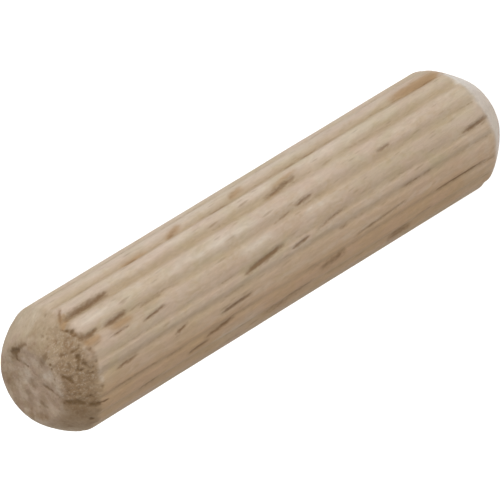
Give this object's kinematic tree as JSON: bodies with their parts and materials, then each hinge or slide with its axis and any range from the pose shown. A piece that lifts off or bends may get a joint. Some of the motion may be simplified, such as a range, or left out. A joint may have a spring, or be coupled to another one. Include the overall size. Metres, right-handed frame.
{
  "type": "dowel pin",
  "caption": "Straight fluted wooden pin with chamfered ends, glued into drilled holes to line up and join two boards.",
  "frame": {"origin": "middle of the lower end face, on the pin's axis", "axes": "+Z along the pin's axis, up to the other end face; +X through the middle of one flute"},
  "size_m": [0.008, 0.008, 0.038],
  "materials": {
    "beech": "bare rolled beech, matte, with brown flecks along the grain"
  },
  "bodies": {
    "root": {"dowel_pin": "beech"}
  },
  "joints": []
}
